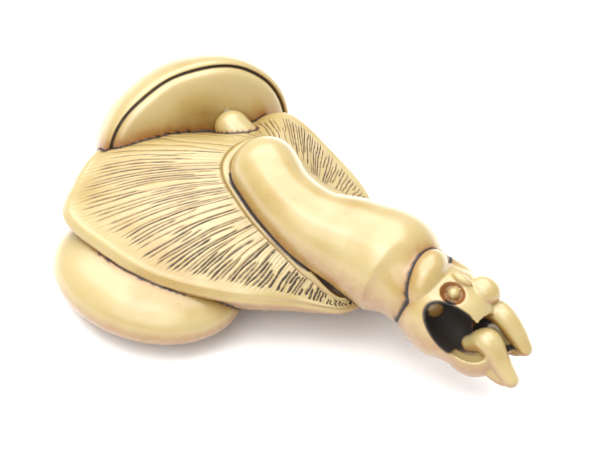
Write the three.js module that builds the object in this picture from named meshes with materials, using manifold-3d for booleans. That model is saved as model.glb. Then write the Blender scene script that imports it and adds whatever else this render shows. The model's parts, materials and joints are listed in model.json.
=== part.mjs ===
// A netsuke: a small toggle carved from one block of pale ivory-like material as a cluster of three
// mushrooms. A big mushroom lies gills up, its bent stem across the gills. A second cap stands behind it
// with a broad margin, and a third cap bulges out under the gilled rim. The stems end in a carved root with
// two prongs. A cord tunnel goes in and out of the domed back underneath.
// Lengths are millimetres. Shapes are laid out in a working frame with +Z up, X across the cluster from the
// caps (left) to the root (right) and Y from front to back. The finished part is turned so that its length
// lies along X.

import * as THREE from "three";
import { mergeVertices } from "three/addons/utils/BufferGeometryUtils.js";
import Module from "manifold-3d";

const wasm = await Module();
wasm.setup();

// ---------------------------------------------------------------- driving dimensions

const TURN_TO_LENGTH = THREE.MathUtils.degToRad(31);
const FOOTPRINT_CENTRE = { x: 2.13, y: -5.84 }; // brings the middle of the footprint to the origin

const GILLED_CAP = {
  // Spokes round the cap, anticlockwise from the side under the stem's bulb: where the gills start beside
  // the stem, the rim where they end, and how far the gilled side swells between the two.
  spokes: [
    { stem: [6.5, 5.0, 10.5], rim: [8.8, 5.5, 8.0], swell: 0 },
    { stem: [5.2, 9.9, 12.6], rim: [7.4, 11.0, 11.2], swell: 0.1 },
    { stem: [1.4, 13.4, 14.4], rim: [3.6, 17.0, 12.0], swell: 0.3 },
    { stem: [-0.8, 15.2, 14.9], rim: [-1.5, 23.0, 12.0], swell: 0.3 },
    { stem: [-2.4, 15.7, 15.1], rim: [-5.2, 24.3, 9.6], swell: 0.2 },
    { stem: [-4.0, 15.6, 15.2], rim: [-10.0, 24.3, 8.0], swell: 0.2 },
    { stem: [-5.4, 14.8, 15.2], rim: [-18.5, 22.0, 9.6], swell: 0.3 },
    { stem: [-6.6, 13.6, 15.0], rim: [-22.0, 18.4, 10.4], swell: 0.6 },
    { stem: [-7.2, 12.2, 14.7], rim: [-24.2, 14.7, 9.4], swell: 1.0 },
    { stem: [-7.0, 10.5, 14.4], rim: [-25.1, 10.8, 8.9], swell: 1.2 },
    { stem: [-6.0, 8.6, 13.9], rim: [-21.0, 5.5, 8.8], swell: 1.2 },
    { stem: [-4.4, 6.2, 13.1], rim: [-15.8, 1.5, 8.5], swell: 1.0 },
    { stem: [-1.8, 3.4, 11.9], rim: [-6.8, -1.1, 8.0], swell: 0.5 },
    { stem: [1.2, 0.9, 10.2], rim: [-1.0, -1.1, 7.4], swell: 0.2 },
    { stem: [4.4, -0.7, 7.8], rim: [4.7, -1.5, 7.0], swell: 0 },
    { stem: [7.2, 1.5, 8.2], rim: [7.6, 1.0, 7.0], swell: 0 },
  ],
  hub: [-1.0, 8.5, 13.0], // hidden under the stem
  crown: [-8.0, 11.5, 1.2], // the lowest point of the domed back
  gills: 46,
  gillDepth: 0.36,
  borderHeight: 0.2,
  border: 0.9, // smooth band beside the stem
  lip: 1.2, // smooth band at the rim
  lipThickness: 1.0,
  undercut: 1.0,
};

const STEM = [
  { at: [-3.6, 10.8, 15.2], r: 3.7 },
  { at: [-1.6, 7.4, 14.4], r: 3.6 },
  { at: [1.6, 4.6, 13.2], r: 4.1 },
  { at: [6.0, 2.9, 12.0], r: 5.1 },
  { at: [9.8, 0.9, 11.2], r: 5.7 },
  { at: [12.0, -1.2, 10.6], r: 4.6 },
];

const STANDING_CAP = {
  centre: [-10.9, 21.15, 8.85],
  roll: -9, // degrees its oval leans in the plane of the face
  lift: 20, // degrees the face looks up
  turn: 24, // degrees it looks to the right
  radius: 11.0,
  oval: 0.825, // height over width
  faceDish: 0.2, // height of the face at the stem
  facePuff: 1.0, // height of the ring round it
  groove: 0.925, // radius of the groove over the cap's
  grooveDepth: 0.8,
  margin: 2.5, // width of the rim's outer band
  depth: 6.6,
};

const STANDING_STEM = [
  { at: [-6.7, 21.8, 12.0], r: 1.7 },
  { at: [-5.4, 19.6, 9.8], r: 2.2 },
  { at: [-1.0, 16.0, 7.6], r: 2.7 },
  { at: [4.0, 11.0, 5.6], r: 3.0 },
  { at: [9.0, 4.6, 6.4], r: 3.2 },
  { at: [12.0, 0.8, 8.4], r: 3.2 },
];

const SIDE_CAP = { centre: [-16.0, 6.0, 4.2], halves: [10.8, 8.5, 4.3], turn: -32 };

const SIDE_STEM = [
  { at: [-11.0, 8.0, 4.6], r: 3.0 },
  { at: [-3.0, 9.2, 3.2], r: 3.0 },
  { at: [3.5, 8.6, 3.0], r: 3.2 },
  { at: [9.0, 4.6, 4.8], r: 3.3 },
  { at: [12.8, 0.2, 7.6], r: 3.2 },
];

// The root has a frame of its own: X along it from the stem's neck to the prongs, Y across it towards its
// back and Z out of its hollow. Its forms are eggs and limbs in that frame.
const ROOT = {
  neck: [12.0, -2.1, 10.0],
  along: [0.8, -0.52, -0.3],
  out: [0, -0.707, 0.707],
  sheath: [
    { at: [-0.1, 1.1, 0], r: 4.0 },
    { at: [2.6, 0.5, 0], r: 4.85 },
    { at: [5.6, 0.2, -0.2], r: 4.9 },
    { at: [8.3, -0.5, -0.6], r: 3.6 },
  ],
  fold: { centre: [0.5, 1.7, 2.3], halves: [2.2, 3.5, 2.9], turn: 12 }, // laps over the neck
  backFold: { centre: [2.8, 4.6, -0.8], halves: [2.9, 1.0, 2.4], turn: 0 },
  hollow: { centre: [6.9, -0.8, 3.2], halves: [3.5, 2.1, 3.5], turn: -8 },
  cleft: { centre: [9.8, 1.6, 1.6], halves: [3.0, 2.0, 2.8], turn: 25 }, // between the prongs
  pit: { centre: [3.9, 2.3, 4.5], halves: [1.35, 1.2, 1.4], turn: 0 },
  pitNub: { centre: [3.9, 2.3, 3.5], halves: [0.7, 0.7, 0.8], turn: 0 },
  leaf: { centre: [3.7, 4.0, 3.5], halves: [1.2, 0.5, 0.7], turn: 5 },
  bud: { centre: [6.1, 4.4, 1.9], halves: [1.85, 1.55, 1.5], turn: 5 },
  backBlade: { centre: [9.6, 2.4, -0.9], halves: [3.7, 1.9, 0.9], turn: -12 }, // carries the back prong
  frontBlade: { centre: [11.3, -1.5, 0.1], halves: [2.8, 1.2, 0.8], turn: -8 },
  backProng: [
    { at: [7.2, 3.4, 0.2], r: 1.3 },
    { at: [9.1, 3.5, 0.9], r: 1.25 },
    { at: [11.4, 2.7, 0.4], r: 1.1 },
    { at: [12.9, 2.0, 0], r: 0.85 },
  ],
  frontProng: [
    { at: [7.9, -0.9, 0.6], r: 0.9 },
    { at: [9.4, 0.3, 1.5], r: 1.45 },
    { at: [11.6, -0.6, 1.0], r: 1.15 },
    { at: [13.7, -1.5, 0.6], r: 0.9 },
  ],
};

const CORD_TUNNEL = { centre: [-7.0, 14.3, 0.6], ring: 3.6, tube: 1.5, turn: 25 };

const GROUND = 0; // everything is cut off flat here, which leaves the small spots that it rests on

// ---------------------------------------------------------------- shaping tools

const { clamp, degToRad, lerp } = THREE.MathUtils;

const vec = (p) => new THREE.Vector3(...p);

// A sphere's grid with every vertex moved: place(turn, ring) gives the point for a share of a turn and a
// ring number, where ring 0 and the last ring are the two poles.
function reshapedSphere(columns, rings, place) {
  const geometry = new THREE.SphereGeometry(1, columns, rings);
  const { uv, position } = geometry.attributes;
  for (let i = 0; i < position.count; i += 1) {
    const ring = Math.round((1 - uv.getY(i)) * rings);
    const turn = ((i % (columns + 1)) % columns) / columns;
    position.setXYZ(i, ...place(turn, ring).toArray());
  }
  return geometry;
}

// A closed geometry as a manifold solid, turned right side out where its grid runs the other way round.
function solid(geometry) {
  const bare = new THREE.BufferGeometry();
  bare.setAttribute("position", geometry.attributes.position);
  bare.setIndex(geometry.index);
  const merged = mergeVertices(bare, 1e-4);
  const corners = merged.index.array;
  const triVerts = [];
  for (let i = 0; i < corners.length; i += 3) {
    const [a, b, c] = corners.subarray(i, i + 3);
    if (a !== b && b !== c && c !== a) triVerts.push(a, b, c);
  }
  const make = (order) =>
    new wasm.Manifold(
      new wasm.Mesh({
        numProp: 3,
        vertProperties: merged.attributes.position.array,
        triVerts: new Uint32Array(order),
      }),
    );
  const made = make(triVerts);
  return made.volume() > 0 ? made : make(triVerts.reverse());
}

function join(...geometries) {
  return geometries.map(solid).reduce((whole, next) => whole.add(next));
}

// A round limb along a smooth line through stations, each with a place and a radius, and with round ends.
function limb(stations, columns = 12, steps = 9, endRings = 3) {
  const curve = new THREE.CatmullRomCurve3(stations.map((s) => vec(s.at)), false, "centripetal");
  const frames = curve.computeFrenetFrames(steps, false);
  const radii = new THREE.SplineCurve(stations.map((s, i) => new THREE.Vector2(i, s.r)));
  return reshapedSphere(columns, steps + 2 * endRings, (turn, ring) => {
    const step = clamp(ring - endRings, 0, steps);
    const past = ring - endRings - step; // how many rings past an end, negative at the start
    const lean = (Math.PI / 2) * (past / endRings);
    const radius = radii.getPoint(step / steps).y;
    const angle = 2 * Math.PI * turn;
    return curve
      .getPoint(step / steps)
      .addScaledVector(frames.tangents[step], radius * Math.sin(lean))
      .addScaledVector(frames.normals[step], radius * Math.cos(lean) * Math.cos(angle))
      .addScaledVector(frames.binormals[step], radius * Math.cos(lean) * Math.sin(angle));
  });
}

// An egg: a sphere with three half-lengths, turned about Z by some degrees and moved to its centre.
function egg({ centre, halves, turn }, columns = 14, rings = 8) {
  return new THREE.SphereGeometry(1, columns, rings)
    .rotateX(Math.PI / 2)
    .scale(...halves)
    .rotateZ(degToRad(turn))
    .translate(...centre);
}

// ---------------------------------------------------------------- the big mushroom's cap

// The point on the gilled side at a distance from the stem, on the line from the stem to the rim.
function gilledPoint(inner, rim, swell, distance, lift) {
  const share = distance / rim.distanceTo(inner);
  const point = inner.clone().lerp(rim, share);
  point.z += lift + swell * Math.sin(Math.PI * share);
  return point;
}

// The points of one half-section through the cap, from the hub out over the gills to the rim and back under
// it to the crown.
function gilledSection(inner, rim, swell, isCut) {
  const { hub, crown, gillDepth, borderHeight, border, lip, lipThickness, undercut } = GILLED_CAP;
  const reach = rim.distanceTo(inner);
  const gillsStart = Math.min(border, reach / 5);
  const gillsEnd = reach - Math.min(lip, reach / 5);
  const point = (distance, lift) => gilledPoint(inner, rim, swell, distance, lift);
  const section = [
    vec(hub),
    point(0, -0.5),
    point(gillsStart / 2, borderHeight),
    point(gillsStart, borderHeight / 2),
  ];
  const gillSteps = 5;
  for (let i = 0; i <= gillSteps; i += 1) {
    const distance = lerp(gillsStart * 1.3, gillsEnd - 0.4, i / gillSteps);
    section.push(point(distance, isCut ? -gillDepth : 0));
  }
  const inward = inner.clone().sub(rim).setZ(0).normalize();
  const under = rim.clone().addScaledVector(inward, lipThickness / 4);
  under.z -= lipThickness;
  const neck = under.clone().addScaledVector(inward, undercut);
  section.push(point(gillsEnd, 0), point(lerp(gillsEnd, reach, 0.75), 0.05));
  section.push(rim.clone().lerp(under, 0.4), under);
  const backSteps = 6;
  for (let i = 0; i <= backSteps; i += 1) {
    const lean = (Math.PI / 2) * (i / backSteps);
    section.push(
      new THREE.Vector3(
        lerp(crown[0], neck.x, Math.cos(lean)),
        lerp(crown[1], neck.y, Math.cos(lean)),
        lerp(neck.z, crown[2], Math.sin(lean)),
      ),
    );
  }
  return section;
}

function gilledCap() {
  const { spokes, gills } = GILLED_CAP;
  const line = (end) => new THREE.CatmullRomCurve3(spokes.map((s) => vec(s[end])), true, "centripetal");
  const stemLine = line("stem");
  const rimLine = line("rim");
  const columns = 2 * gills;
  const sections = [];
  for (let i = 0; i < columns; i += 1) {
    const turn = i / columns;
    const place = turn * spokes.length;
    const from = spokes[Math.floor(place)];
    const to = spokes[(Math.floor(place) + 1) % spokes.length];
    const swell = lerp(from.swell, to.swell, place % 1);
    sections.push(gilledSection(stemLine.getPoint(turn), rimLine.getPoint(turn), swell, i % 2 === 1));
  }
  const rings = sections[0].length - 1;
  return reshapedSphere(columns, rings, (turn, ring) => sections[Math.round(turn * columns)][ring]);
}

// ---------------------------------------------------------------- the two other caps

function standingCap() {
  const { centre, roll, lift, turn, radius, oval, margin, depth } = STANDING_CAP;
  const { faceDish, facePuff, groove, grooveDepth } = STANDING_CAP;
  const edge = groove * radius;
  const profile = [
    [0, faceDish],
    [0.25 * radius, lerp(faceDish, facePuff, 0.4)],
    [0.55 * radius, facePuff],
    [0.78 * radius, 0.75 * facePuff],
    [edge - 0.4, 0.4 * facePuff],
    [edge - 0.1, 0],
    [edge, -grooveDepth],
    [edge + 0.3, -grooveDepth / 2],
    [radius - 0.1, -0.3 * margin],
    [radius, -0.6 * margin],
    [0.99 * radius, -margin],
  ];
  const domeSteps = 5;
  for (let i = 1; i < domeSteps; i += 1) {
    const lean = (Math.PI / 2) * (i / domeSteps);
    profile.push([0.99 * radius * Math.cos(lean), -margin - (depth - margin) * Math.sin(lean)]);
  }
  profile.push([0, -depth]);
  const points = profile.reverse().map(([r, h]) => new THREE.Vector2(r, h));
  // The lathe turns about +Y. Its face is laid towards -Y, made oval, then rolled, lifted and turned.
  return new THREE.LatheGeometry(points, 36)
    .rotateX(Math.PI)
    .scale(1, 1, oval)
    .rotateY(degToRad(roll))
    .rotateX(degToRad(-lift))
    .rotateZ(degToRad(turn))
    .translate(...centre);
}

// ---------------------------------------------------------------- the root

function root() {
  const body = join(limb(ROOT.sheath, 20, 8), egg(ROOT.fold, 18, 12), egg(ROOT.backFold));
  const holes = join(egg(ROOT.hollow, 16, 10), egg(ROOT.cleft), egg(ROOT.pit, 12, 8));
  const inside = join(
    egg(ROOT.pitNub, 10, 6),
    egg(ROOT.leaf, 10, 6),
    egg(ROOT.bud, 14, 8),
    egg(ROOT.backBlade),
    egg(ROOT.frontBlade, 10, 6),
    limb(ROOT.backProng, 12, 6),
    limb(ROOT.frontProng, 12, 6),
  );
  const along = vec(ROOT.along).normalize();
  const out = vec(ROOT.out).addScaledVector(along, -vec(ROOT.out).dot(along)).normalize();
  const across = new THREE.Vector3().crossVectors(out, along);
  const frame = new THREE.Matrix4().makeBasis(along, across, out).setPosition(vec(ROOT.neck));
  return body.subtract(holes).add(inside).transform(frame.elements);
}

// ---------------------------------------------------------------- holes and the underside

function cordTunnel() {
  const { centre, ring, tube, turn } = CORD_TUNNEL;
  return new THREE.TorusGeometry(ring, tube, 12, 24)
    .rotateX(Math.PI / 2)
    .rotateZ(degToRad(turn))
    .translate(...centre);
}

function belowGround() {
  const size = 200;
  return new THREE.BoxGeometry(size, size, size).translate(0, 0, GROUND - size / 2);
}

// ---------------------------------------------------------------- joined and cut

function meshOf(manifold) {
  const { vertProperties, triVerts } = manifold.getMesh();
  const geometry = new THREE.BufferGeometry();
  geometry.setAttribute("position", new THREE.BufferAttribute(vertProperties, 3));
  geometry.setIndex(new THREE.BufferAttribute(triVerts, 1));
  return geometry;
}

const caps = join(gilledCap(), standingCap(), egg(SIDE_CAP, 26, 14));
const stems = join(limb(STEM, 22, 14, 4), limb(STANDING_STEM), limb(SIDE_STEM));
const carving = caps.add(stems).add(root()).subtract(join(cordTunnel(), belowGround()));

const ivory = new THREE.MeshStandardMaterial({ color: 0xe6d6a8, roughness: 0.35, metalness: 0 });
const cluster = new THREE.Mesh(meshOf(carving), ivory);
cluster.name = "mushroom_cluster";

const turned = new THREE.Group();
turned.rotation.z = TURN_TO_LENGTH;
turned.add(cluster);

const netsuke = new THREE.Group();
netsuke.position.set(FOOTPRINT_CENTRE.x, FOOTPRINT_CENTRE.y, 0);
netsuke.add(turned);

export default netsuke;
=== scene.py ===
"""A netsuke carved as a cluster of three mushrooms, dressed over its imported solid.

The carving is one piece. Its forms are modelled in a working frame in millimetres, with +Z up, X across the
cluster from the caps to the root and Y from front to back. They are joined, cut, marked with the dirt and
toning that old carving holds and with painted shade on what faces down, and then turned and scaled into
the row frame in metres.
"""

import json
import logging
import math
from dataclasses import dataclass
from enum import IntEnum
from typing import Any, Callable, Union

import bmesh
import bpy
import numpy as np
from mathutils import Matrix, Vector, kdtree, noise

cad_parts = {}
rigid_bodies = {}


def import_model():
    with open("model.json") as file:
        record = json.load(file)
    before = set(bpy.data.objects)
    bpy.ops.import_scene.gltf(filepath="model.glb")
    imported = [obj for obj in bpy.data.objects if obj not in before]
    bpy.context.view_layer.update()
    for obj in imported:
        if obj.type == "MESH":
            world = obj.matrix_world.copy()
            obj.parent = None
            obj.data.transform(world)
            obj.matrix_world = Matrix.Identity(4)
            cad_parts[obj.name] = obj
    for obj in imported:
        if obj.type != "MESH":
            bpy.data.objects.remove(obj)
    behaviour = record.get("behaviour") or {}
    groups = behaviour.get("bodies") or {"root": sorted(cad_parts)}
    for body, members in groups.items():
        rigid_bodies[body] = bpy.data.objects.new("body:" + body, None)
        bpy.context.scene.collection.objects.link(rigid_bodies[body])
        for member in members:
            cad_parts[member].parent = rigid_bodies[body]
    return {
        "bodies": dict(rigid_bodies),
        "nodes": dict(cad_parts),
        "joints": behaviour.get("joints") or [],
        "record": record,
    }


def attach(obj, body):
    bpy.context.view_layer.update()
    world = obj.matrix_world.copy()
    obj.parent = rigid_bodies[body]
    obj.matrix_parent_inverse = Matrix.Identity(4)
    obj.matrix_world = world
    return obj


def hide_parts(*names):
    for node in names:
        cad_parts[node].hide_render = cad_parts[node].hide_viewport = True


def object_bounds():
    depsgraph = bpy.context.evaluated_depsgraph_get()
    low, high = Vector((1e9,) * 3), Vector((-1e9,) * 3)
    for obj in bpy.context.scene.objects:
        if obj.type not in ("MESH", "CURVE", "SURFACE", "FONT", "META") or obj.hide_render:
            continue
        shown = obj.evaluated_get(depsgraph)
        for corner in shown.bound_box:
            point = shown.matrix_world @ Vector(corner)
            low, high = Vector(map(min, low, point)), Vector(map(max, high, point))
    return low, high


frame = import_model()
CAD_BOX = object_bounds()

LOG = logging.getLogger("netsuke")

MM = 0.001
TURN_TO_LENGTH = math.radians(31.0)
FOOTPRINT_CENTRE = (2.13, -5.84, 0.0)
SEED = 7
# The second mark holds real toning in the creases and the pit, and painted shade on what faces down.
MARKS = ("ink", "toning_and_shade")

Point = tuple[float, float, float]
Colour = tuple[float, float, float]


class Form(IntEnum):
    """Which form of the carving a face belongs to."""

    GILLS = 1
    STANDING_CAP = 2
    SIDE_CAP = 3
    STEM = 4
    STANDING_STEM = 5
    SIDE_STEM = 6
    ROOT = 7


# ------------------------------------------------------------------ small tools


def smoothstep(low: float, high: float, values: np.ndarray) -> np.ndarray:
    """A soft step from 0 at low to 1 at high, which may be the smaller of the two."""
    share = np.clip((values - low) / (high - low), 0.0, 1.0)
    return share * share * (3.0 - 2.0 * share)


def mixed(low: Any, high: Any, share: Any) -> Any:
    """The value a share of the way from low to high."""
    return low + (high - low) * share


def unit(vectors: np.ndarray) -> np.ndarray:
    """The vectors at length one."""
    return vectors / np.maximum(np.linalg.norm(vectors, axis=-1, keepdims=True), 1e-9)


def noises(places: list[Point]) -> np.ndarray:
    """Smooth noise from -1 to 1 at each place."""
    return np.array([noise.noise(Vector(place)) for place in places])


class SmoothLine:
    """A centripetal Catmull-Rom line through points, open or closed, with any number of coordinates."""

    def __init__(self, points: Any, closed: bool = False) -> None:
        """Keeps the points with one more beyond each end.

        Args:
            points: the places that the line goes through.
            closed: whether it comes back to its first point.
        """
        knots = np.array(points, float)
        self.closed = closed
        self.spans = len(knots) if closed else len(knots) - 1
        if closed:
            self.knots = np.vstack([knots[-1:], knots, knots[:2]])
        else:
            before = 2 * knots[0] - knots[1]
            after = 2 * knots[-1] - knots[-2]
            self.knots = np.vstack([before, knots, after])

    def at(self, shares: Any) -> np.ndarray:
        """Points along the line.

        Args:
            shares: how far along, from 0 to 1, with each stretch between points taking an equal share.

        Returns:
            The points, with the coordinates on the last axis.
        """
        shares = np.asarray(shares, float)
        shares = shares % 1.0 if self.closed else np.clip(shares, 0.0, 1.0)
        place = shares * self.spans
        index = np.minimum(place.astype(int), self.spans - 1)
        s = (place - index)[..., None]
        a, b, c, d = (self.knots[index + k] for k in range(4))
        g0, g1, g2 = (
            np.sqrt(np.maximum(np.linalg.norm(q - p, axis=-1, keepdims=True), 1e-6))
            for p, q in ((a, b), (b, c), (c, d))
        )
        t1 = ((b - a) / g0 - (c - a) / (g0 + g1) + (c - b) / g1) * g1
        t2 = ((c - b) / g1 - (d - b) / (g1 + g2) + (d - c) / g2) * g1
        cubic = 2 * b - 2 * c + t1 + t2
        square = 3 * c - 3 * b - 2 * t1 - t2
        return b + s * (t1 + s * (square + s * cubic))


def new_mesh() -> bmesh.types.BMesh:
    """An empty mesh with a layer for each mark and for the form.

    Returns:
        The mesh.
    """
    mesh = bmesh.new()
    for name in MARKS:
        mesh.verts.layers.float.new(name)
    mesh.faces.layers.int.new("form")
    return mesh


def set_form(mesh: bmesh.types.BMesh, form: Form) -> None:
    """Says which form every face belongs to.

    Args:
        mesh: the mesh, with its form layer.
        form: the form.
    """
    layer = mesh.faces.layers.int["form"]
    for face in mesh.faces:
        face[layer] = form


def shaped_ball(form: Form, points: np.ndarray, ink: Any = None) -> bmesh.types.BMesh:
    """A closed ball: a grid wrapped round, with its first and last rings drawn together as poles.

    Args:
        form: the form that its faces belong to.
        points: the place of each vertex by column and ring. All columns meet at the first and last ring.
        ink: how dark each vertex is, by column and ring, or None for clean.

    Returns:
        A closed mesh with its faces outwards.
    """
    columns, rings = points.shape[0], points.shape[1] - 1
    mesh = new_mesh()
    layer = mesh.verts.layers.float["ink"]
    bmesh.ops.create_grid(mesh, x_segments=columns, y_segments=rings, size=1.0)
    verts = list(mesh.verts)
    across = columns + 1
    for index, vert in enumerate(verts):
        ring, column = divmod(index, across)
        vert.co = points[column % columns, ring]
        if ink is not None:
            vert[layer] = ink[column % columns, ring]
    merged = {verts[ring * across + columns]: verts[ring * across] for ring in range(rings + 1)}
    for start in (0, rings * across):
        merged.update({vert: verts[start] for vert in verts[start + 1 : start + across]})
    bmesh.ops.weld_verts(mesh, targetmap=merged)
    set_form(mesh, form)
    if mesh.calc_volume(signed=True) < 0:
        bmesh.ops.reverse_faces(mesh, faces=mesh.faces)
    return mesh


def as_object(name: str, mesh: bmesh.types.BMesh) -> bpy.types.Object:
    """Puts a bmesh in the scene, and frees it.

    Args:
        name: the object's name.
        mesh: the bmesh.

    Returns:
        The object.
    """
    data = bpy.data.meshes.new(name)
    mesh.to_mesh(data)
    mesh.free()
    made = bpy.data.objects.new(name, data)
    bpy.context.scene.collection.objects.link(made)
    return made


def drop(made: bpy.types.Object) -> None:
    """Removes an object and its mesh.

    Args:
        made: the object.
    """
    data = made.data
    bpy.data.objects.remove(made)
    bpy.data.meshes.remove(data)


def with_modifier(made: bpy.types.Object, kind: str, **settings: Any) -> bpy.types.Object:
    """Applies one modifier to an object's mesh.

    Args:
        made: the object, whose mesh is replaced.
        kind: the modifier's type.
        settings: its properties.

    Returns:
        The same object.
    """
    modifier = made.modifiers.new(kind, kind)
    for name, value in settings.items():
        setattr(modifier, name, value)
    graph = bpy.context.evaluated_depsgraph_get()
    data = bpy.data.meshes.new_from_object(made.evaluated_get(graph))
    made.modifiers.remove(modifier)
    old = made.data
    made.data = data
    bpy.data.meshes.remove(old)
    return made


def combined(first: bpy.types.Object, others: list[bpy.types.Object], operation: str) -> bpy.types.Object:
    """Joins the others to the first object, or cuts it with them, and removes them.

    Args:
        first: the object that is kept.
        others: closed objects.
        operation: UNION or DIFFERENCE.

    Returns:
        The first object.
    """
    for other in others:
        with_modifier(first, "BOOLEAN", operation=operation, object=other, solver="MANIFOLD")
        drop(other)
    return first


# ------------------------------------------------------------------ simple forms


@dataclass(frozen=True)
class Limb:
    """A round limb along a smooth line through stations, with round ends."""

    stations: tuple[tuple[float, float, float, float], ...]  # x, y, z and radius
    columns: int = 48
    steps: int = 44
    end_rings: int = 10
    nudge: float = 0.002  # the share of the line over which its direction is measured

    def build(self, form: Form) -> bmesh.types.BMesh:
        """The limb as a closed mesh.

        Args:
            form: the form that its faces belong to.

        Returns:
            The mesh.
        """
        line = SmoothLine([s[:3] for s in self.stations])
        radii = SmoothRadii([s[3] for s in self.stations])
        shares = np.linspace(0.0, 1.0, self.steps + 1)
        centres = line.at(shares)
        tangents = unit(line.at(shares + self.nudge) - line.at(shares - self.nudge))
        normals = self.carried_normals(tangents)
        binormals = np.cross(tangents, normals)
        angles = np.arange(self.columns) / self.columns * math.tau
        rings = self.steps + 2 * self.end_rings
        points = np.zeros((self.columns, rings + 1, 3))
        for ring in range(rings + 1):
            step = min(max(ring - self.end_rings, 0), self.steps)
            lean = (math.pi / 2) * (ring - self.end_rings - step) / self.end_rings
            radius = radii.at(shares[step])
            side = np.outer(np.cos(angles), normals[step]) + np.outer(np.sin(angles), binormals[step])
            points[:, ring] = centres[step] + radius * (
                math.sin(lean) * tangents[step] + math.cos(lean) * side
            )
        return shaped_ball(form, points)

    @staticmethod
    def carried_normals(tangents: np.ndarray) -> np.ndarray:
        """Side directions carried along the line without twist.

        Args:
            tangents: the line's directions, at length one.

        Returns:
            One side direction for each.
        """
        start = np.array((0.0, 0.0, 1.0))
        normals = []
        for tangent in tangents:
            start = start - tangent * np.dot(start, tangent)
            start = start / np.linalg.norm(start)
            normals.append(start)
        return np.array(normals)


class SmoothRadii:
    """Radii that change smoothly from station to station."""

    def __init__(self, radii: list[float]) -> None:
        """Keeps the radii, with the end ones repeated."""
        self.knots = np.array([radii[0], *radii, radii[-1]])

    def at(self, share: float) -> float:
        """The radius on the way along.

        Args:
            share: how far along, from 0 to 1.

        Returns:
            The radius.
        """
        place = share * (len(self.knots) - 3)
        index = min(int(place), len(self.knots) - 4)
        s = place - index
        a, b, c, d = self.knots[index : index + 4]
        t1, t2 = (c - a) / 2, (d - b) / 2
        return float(b + s * (t1 + s * ((3 * c - 3 * b - 2 * t1 - t2) + s * (2 * b - 2 * c + t1 + t2))))


@dataclass(frozen=True)
class Egg:
    """A ball with three half-lengths, turned about its own upright axis."""

    centre: tuple[float, float, float]
    halves: tuple[float, float, float]
    turn: float = 0.0  # degrees
    columns: int = 48
    rings: int = 28

    def build(self, form: Form) -> bmesh.types.BMesh:
        """The egg as a closed mesh.

        Args:
            form: the form that its faces belong to.

        Returns:
            The mesh.
        """
        mesh = new_mesh()
        bmesh.ops.create_uvsphere(mesh, u_segments=self.columns, v_segments=self.rings, radius=1.0)
        bmesh.ops.scale(mesh, vec=self.halves, verts=mesh.verts)
        spin = Matrix.Rotation(math.radians(self.turn), 3, "Z")
        bmesh.ops.rotate(mesh, cent=(0, 0, 0), matrix=spin, verts=mesh.verts)
        bmesh.ops.translate(mesh, vec=self.centre, verts=mesh.verts)
        set_form(mesh, form)
        return mesh

    def share(self, points: np.ndarray) -> np.ndarray:
        """How far out each point lies.

        Args:
            points: places in the egg's frame, one row each.

        Returns:
            0 at the middle and 1 on the egg's surface, for each point.
        """
        turn = math.radians(-self.turn)
        local = points - np.array(self.centre)
        x = local[:, 0] * math.cos(turn) - local[:, 1] * math.sin(turn)
        y = local[:, 0] * math.sin(turn) + local[:, 1] * math.cos(turn)
        return np.linalg.norm(np.stack([x, y, local[:, 2]], axis=1) / np.array(self.halves), axis=1)


# ------------------------------------------------------------------ the big mushroom's cap


@dataclass(frozen=True)
class GillRegion:
    """How the strokes are cut in one stretch round the cap."""

    turn: float  # where it is, as a share of a turn
    pitch: float  # mm between strokes near the rim
    width: float  # half the width of a stroke
    depth: float
    ink: float  # how dark the strokes are


@dataclass(frozen=True)
class Hand:
    """How the strokes vary, with pairs as the least and most. Starts and ends are shares of the way out."""

    late: float = 0.42  # the share of the strokes that start part of the way out
    late_start: tuple[float, float] = (0.08, 0.55)
    start: tuple[float, float] = (-0.02, 0.03)
    short: float = 0.12  # the share of the strokes that end early
    short_end: tuple[float, float] = (0.45, 0.85)
    end: tuple[float, float] = (0.93, 1.0)
    strength: tuple[float, float] = (0.55, 1.0)
    jitter: tuple[float, float] = (0.78, 1.22)
    spread: float = 10.0  # how far apart the strokes' own noises lie
    drift: float = 0.55  # shares of the gap to the next stroke
    wobble: float = 0.30
    merge: float = 0.38
    merge_reach: float = 0.10
    opening: tuple[float, float] = (-0.005, 0.05)
    closing: tuple[float, float] = (-0.01, 0.10)
    ragged: tuple[float, float] = (0.78, 0.35)  # the middle and the swing
    ragged_limits: tuple[float, float] = (0.25, 1.1)
    drift_bumps: tuple[float, float] = (30.0, 2.2)  # bumps of noise round the cap and along a stroke
    wobble_bumps: float = 4.0
    ragged_bumps: tuple[float, float] = (3.0, 16.0)
    levels: tuple[float, float, float] = (3.0, 7.0, 1.0)  # where in the noise each of the three is taken
    room: float = 0.36  # the widest half stroke, as a share of the gap
    full_width: float = 0.1  # mm at which a stroke has its whole depth


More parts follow.
